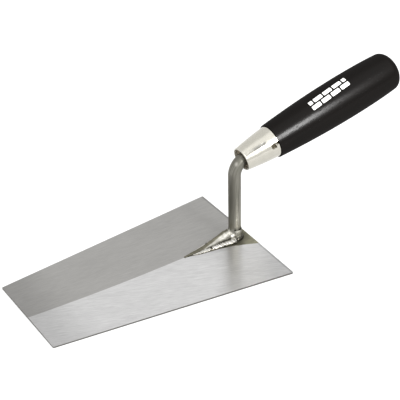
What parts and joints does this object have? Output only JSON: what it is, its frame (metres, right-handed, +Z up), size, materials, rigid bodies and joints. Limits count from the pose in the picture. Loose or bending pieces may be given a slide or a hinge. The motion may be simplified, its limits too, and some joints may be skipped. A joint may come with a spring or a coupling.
{
  "type": "brick trowel",
  "caption": "Square-ended brick trowel: tapered flat steel blade on a cranked round neck, with a metal ferrule and a turned black wooden handle.",
  "frame": {"origin": "on the blade's flat underside, where the neck's axis meets it", "axes": "+X back along the tool towards the handle, +Y to the left of the tool, +Z up off the blade's underside"},
  "size_m": [0.3454, 0.1298, 0.1263],
  "materials": {
    "blade_steel": "ground and brushed, bright",
    "neck_steel": "satin, drawn bar with a slight olive tint",
    "weld_metal": "rippled weld metal, wire brushed",
    "ferrule_plating": "bright nickel plate, slightly satin",
    "handle_lacquer": "black semi-gloss lacquer over turned wood",
    "print_ink": "matt white pad-printed ink"
  },
  "bodies": {
    "root": {"blade": "blade_steel", "neck": "neck_steel", "weld_left": "weld_metal", "weld_right": "weld_metal", "weld_heel": "weld_metal", "ferrule": "ferrule_plating", "handle": "handle_lacquer"}
  },
  "joints": []
}
